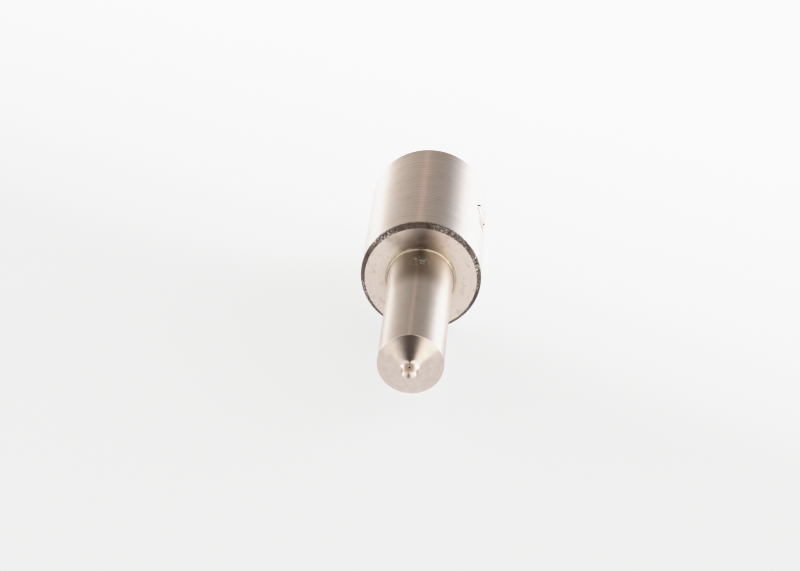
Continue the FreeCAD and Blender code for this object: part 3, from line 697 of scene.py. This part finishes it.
round_off(bm, ROOT_RADIUS, shoulder, tangent_length(ROOT_FILLET, square), 10, ROOT)
round_off(bm, NIPPLE_RADIUS, cone_end, tangent_length(NIPPLE_FILLET, TIP_HALF_ANGLE), 8)
round_off(bm, stem_radius, cone_edge, tangent_length(TIP_EDGE_ROUND, TIP_HALF_ANGLE), 4)
for radius, station in [(collar_radius - REAR_CHAMFER, 0), (collar_radius, -REAR_CHAMFER),
                        (collar_radius, shoulder + SHOULDER_CHAMFER),
                        (collar_radius - SHOULDER_CHAMFER, shoulder)]:
    round_off(bm, radius, station, tangent_length(BROKEN_EDGE * 2, eighth))


# Drillings: three feed passages from the groove to the gallery, four spray holes from the sac
# through the nipple's wall, and two holes for the dowels.

FEED_RADIUS = 0.75
FEED_COUNT = 3
FEED_START = (4.85, 0)  # passage centre at the rear face, as (radius, station)
FEED_END = (4.15, -20)
SPRAY_RADIUS = 0.15
SPRAY_COUNT = 4
SPRAY_EXIT = 2.5  # cone's edge to a spray hole's exit
SPRAY_HALF_ANGLE = math.radians(75)
SPRAY_EDGE = 0.09
DOWEL_RADIUS = 1.0
DOWEL_CIRCLE = 6.75
DOWEL_HOLE_DEPTH = 4.4
OVERRUN = 1.0
DRILL_FLATS = 48


def drill(name, radius, start, end, around, material, end_radius=None):
    """A drill's path as a closed cylinder or cone between two (radius, station) points, at an
    angle round the axis from the top."""
    turn = Matrix.Rotation(around, 4, AXIS)
    a = turn @ Vector((0, start[1], start[0]))
    b = turn @ Vector((0, end[1], end[0]))
    bit = bmesh.new()
    bmesh.ops.create_cone(bit, cap_ends=True, segments=DRILL_FLATS, radius1=radius,
                          radius2=end_radius or radius, depth=(b - a).length,
                          matrix=Matrix.Translation((a + b) / 2) @
                          (b - a).to_track_quat("Z", "Y").to_matrix().to_4x4())
    return object_from(bit, name, [material])


cutters = []
feed_slope = (FEED_START[0] - FEED_END[0]) / (FEED_START[1] - FEED_END[1])
feed_top = (FEED_START[0] + feed_slope * OVERRUN, OVERRUN)
for i in range(FEED_COUNT):
    cutters.append(drill(f"feed_{i}", FEED_RADIUS, feed_top, FEED_END,
                         2 * math.pi * i / FEED_COUNT, body_materials[BORED]))
exit_point = Vector((NIPPLE_RADIUS, cone_edge - SPRAY_EXIT))
spray_way = Vector((math.sin(SPRAY_HALF_ANGLE), -math.cos(SPRAY_HALF_ANGLE)))
spray_start = exit_point - spray_way * (NIPPLE_RADIUS - SAC_RADIUS / 2) / spray_way.x
for i in range(SPRAY_COUNT):
    around = 2 * math.pi * i / SPRAY_COUNT
    cutters.append(drill(f"spray_{i}", SPRAY_RADIUS, spray_start, exit_point + spray_way * OVERRUN,
                         around, body_materials[BORED]))
    cutters.append(drill(f"spray_edge_{i}", SPRAY_RADIUS, exit_point - spray_way * SPRAY_EDGE,
                         exit_point + spray_way * SPRAY_EDGE, around, body_materials[TIP],
                         SPRAY_RADIUS + 2 * SPRAY_EDGE))
for side in (1, -1):
    cutters.append(drill(f"dowel_hole_{side}", DOWEL_RADIUS, (DOWEL_CIRCLE, OVERRUN),
                         (DOWEL_CIRCLE, -DOWEL_HOLE_DEPTH), side * math.pi / 2,
                         body_materials[BORED]))


# The etched mark stands for a maker's batch mark: a plain hexagon and three strokes.

MARK_DEPTH = 0.06
MARK_RADIUS = 1.8
MARK_LINE = 0.24
MARK_STATION = -9.6
MARK_TURN = math.radians(72)
STROKE_COUNT = 3
STROKE_PITCH = 0.7
STROKE_LENGTH = 1.8


def wrap(flat, name):
    """Gives a flat shape in XY its depth and wraps it round the collar at the mark's place."""
    bmesh.ops.subdivide_edges(flat, edges=flat.edges, cuts=5, use_grid_fill=True)
    raised = bmesh.ops.extrude_face_region(flat, geom=flat.faces[:])["geom"]
    top = [item for item in raised if isinstance(item, bmesh.types.BMVert)]
    bmesh.ops.translate(flat, verts=top, vec=(0, 0, 2 * MARK_DEPTH))
    for vert in flat.verts:
        across, along, out = vert.co
        turn = MARK_TURN + across / collar_radius
        reach = collar_radius - MARK_DEPTH + out
        vert.co = (reach * math.sin(turn), MARK_STATION + along, reach * math.cos(turn))
    bmesh.ops.recalc_face_normals(flat, faces=flat.faces)
    return object_from(flat, name, [body_materials[ETCHED]])


hexagon = bmesh.new()
bmesh.ops.create_circle(hexagon, cap_ends=True, radius=MARK_RADIUS, segments=6,
                        matrix=Matrix.Rotation(math.radians(30), 4, "Z"))
inner = hexagon.faces[:]
bmesh.ops.inset_region(hexagon, faces=inner, thickness=MARK_LINE, use_boundary=True,
                       use_even_offset=True)
bmesh.ops.delete(hexagon, geom=inner, context="FACES")
cutters.append(wrap(hexagon, "mark_hexagon"))
for i in range(STROKE_COUNT):
    stroke = bmesh.new()
    middle = MARK_LINE / 2 - MARK_RADIUS - STROKE_PITCH * (i + 1)
    bmesh.ops.create_grid(stroke, x_segments=1, y_segments=1, size=0.5,
                          matrix=Matrix.Translation((0, middle, 0)) @
                          Matrix.Diagonal((STROKE_LENGTH, MARK_LINE, 1, 1)))
    cutters.append(wrap(stroke, f"mark_stroke_{i}"))


def cut(blank, tools, name, materials):
    """The blank less each tool in turn, in metres. The tools are used up."""
    for tool in tools:
        cutting = blank.modifiers.new(tool.name, "BOOLEAN")
        cutting.object = tool
        cutting.solver = "EXACT"
        cutting.material_mode = "TRANSFER"
    seen = bpy.context.evaluated_depsgraph_get()
    result = bmesh.new()
    result.from_mesh(bpy.data.meshes.new_from_object(blank.evaluated_get(seen)))
    for used in [blank, *tools]:
        bpy.data.objects.remove(used)
    return finished(result, name, materials)


def finished(bm, name, materials, crease=math.radians(22)):
    """A piece in metres, with smooth turned surfaces and sharp edges where it creases."""
    bmesh.ops.scale(bm, verts=bm.verts, vec=(MM, MM, MM))
    for face in bm.faces:
        face.smooth = True
    made = object_from(bm, name, materials)
    made.data.set_sharp_from_angle(angle=crease)
    made.modifiers.new("even_shading", "WEIGHTED_NORMAL").keep_sharp = True
    return made


body = cut(object_from(bm, "body_blank", body_materials), cutters, "nozzle_body_turned",
           body_materials)
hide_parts("nozzle_body")
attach(body, "nozzle")


# ----------------------------------------------------------------------- needle
# A hardened steel needle, ground and then lapped with its own nozzle body as a pair. Its guide
# has three oil grooves, and the spigot at its rear end takes the push of the spring.

NEEDLE_RADIUS = 3.0
NEEDLE_LIFT = 0.3
GUIDE_END = -17.2
SHAFT_RADIUS = 1.8
SHAFT_START = -19.3
SEAT_GAP = 0.02
NEEDLE_TIP_RADIUS = 0.62
POINT_RADIUS = 0.25
SPIGOT_NECK_RADIUS = 1.6
SPIGOT_NECK_LENGTH = 0.6
SPIGOT_CHAMFER = 0.45
NEEDLE_EDGE = 0.25
OIL_GROOVE_COUNT = 3
OIL_GROOVE_FIRST = -4.6
OIL_GROOVE_PITCH = 3.6
OIL_GROOVE_WIDTH = 0.35
OIL_GROOVE_DEPTH = 0.14

spigot_radius = MOUNTS["needle_spigot"]["dims"]["r_mm"]
spigot_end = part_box("nozzle_needle")[1][1] / MM
neck_end = SPIGOT_NECK_LENGTH - NEEDLE_LIFT


def on_seat(radius):
    """Station where the needle's seat cone has this radius."""
    return seat_end + (radius + SEAT_GAP - SAC_RADIUS) / math.tan(SEAT_HALF_ANGLE)


HAIR_LINE = 0.1  # mm between the hair lines that lapping leaves


def lapped_guide():
    """Hardened steel, lapped: a soft mirror, with hair lines round the needle."""
    material, tree, output = new_material("lapped_needle_steel")
    place = add_node(tree, "ShaderNodeTexCoord").outputs["Object"]
    round_lines = add_node(tree, "ShaderNodeMapping", {
        "Vector": place,
        "Scale": (SCRATCH_WANDER, 1 / (HAIR_LINE * MM), SCRATCH_WANDER)}).outputs[0]
    lines = add_node(tree, "ShaderNodeTexNoise", {
        "Vector": round_lines, "Scale": 1.0, "Detail": 4.0}).outputs["Fac"]
    colour = blend(tree, lines, linear("D2CBC6"), linear("E4DFDB"))
    polish = add_node(tree, "ShaderNodeMapRange", {
        "Value": lines, "From Min": 0.3, "From Max": 0.7, "To Min": 0.1, "To Max": 0.17}).outputs[0]
    surface = add_node(tree, "ShaderNodeBsdfPrincipled", {
        "Base Color": colour, "Metallic": 1.0, "Roughness": polish})
    tree.links.new(surface.outputs[0], output.inputs["Surface"])
    return material


GUIDE, SHAFT = range(2)
needle_materials = [lapped_guide(), ground_pin("ground_needle_steel")]

guide = [(NEEDLE_RADIUS - NEEDLE_EDGE, -NEEDLE_LIFT), (NEEDLE_RADIUS, -NEEDLE_LIFT - NEEDLE_EDGE)]
for i in range(OIL_GROOVE_COUNT):
    start = OIL_GROOVE_FIRST - i * OIL_GROOVE_PITCH
    floor_radius = NEEDLE_RADIUS - OIL_GROOVE_DEPTH
    guide += [(NEEDLE_RADIUS, start), (floor_radius, start),
              (floor_radius, start - OIL_GROOVE_WIDTH), (NEEDLE_RADIUS, start - OIL_GROOVE_WIDTH)]
guide.append((NEEDLE_RADIUS, GUIDE_END))
point = on_seat(NEEDLE_TIP_RADIUS) - NEEDLE_TIP_RADIUS + POINT_RADIUS
bm = turned([
    (SHAFT, [(0, spigot_end), (spigot_radius - SPIGOT_CHAMFER, spigot_end),
             (spigot_radius, spigot_end - SPIGOT_CHAMFER), (spigot_radius, neck_end),
             (SPIGOT_NECK_RADIUS, neck_end), (SPIGOT_NECK_RADIUS, -NEEDLE_LIFT),
             (NEEDLE_RADIUS - NEEDLE_EDGE, -NEEDLE_LIFT)]),
    (GUIDE, guide),
    (SHAFT, [(NEEDLE_RADIUS, GUIDE_END), (SHAFT_RADIUS, SHAFT_START),
             (SHAFT_RADIUS, on_seat(SHAFT_RADIUS))]),
    (GUIDE, [(SHAFT_RADIUS, on_seat(SHAFT_RADIUS)), (NEEDLE_TIP_RADIUS, on_seat(NEEDLE_TIP_RADIUS)),
             (POINT_RADIUS, point), (0, point)]),
])
for radius, station in [(spigot_radius - SPIGOT_CHAMFER, spigot_end),
                        (spigot_radius, spigot_end - SPIGOT_CHAMFER),
                        (NEEDLE_RADIUS - NEEDLE_EDGE, -NEEDLE_LIFT),
                        (NEEDLE_RADIUS, -NEEDLE_LIFT - NEEDLE_EDGE)]:
    round_off(bm, radius, station, tangent_length(BROKEN_EDGE * 2, eighth))
needle = finished(bm, "needle_turned", needle_materials)
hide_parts("nozzle_needle")
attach(needle, "needle")


# ----------------------------------------------------------------------- dowels
# Two ground steel pins, pressed into the rear face, which set the spray holes' direction.

DOWEL_CHAMFER = 0.3
DOWEL_FLATS = 96
dowel_material = ground_pin("ground_dowel_steel")
for name in ("locating_dowel_right", "locating_dowel_left"):
    low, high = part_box(name)
    middle = (Vector(low) + Vector(high)) / 2 / MM
    length = (high[1] - low[1]) / MM
    bm = bmesh.new()
    bmesh.ops.create_cone(bm, cap_ends=True, segments=DOWEL_FLATS, radius1=DOWEL_RADIUS,
                          radius2=DOWEL_RADIUS, depth=length,
                          matrix=Matrix.Translation(middle) @ Matrix.Rotation(square, 4, "X"))
    ends = [edge for edge in bm.edges
            if abs(edge.verts[0].co.y - edge.verts[1].co.y) < length / 2]
    bmesh.ops.bevel(bm, geom=ends, offset=DOWEL_CHAMFER, offset_type="OFFSET", segments=1,
                    profile=0.5, affect="EDGES", material=-1)
    pin = finished(bm, name + "_ground", [dowel_material])
    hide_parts(name)
    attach(pin, "nozzle")
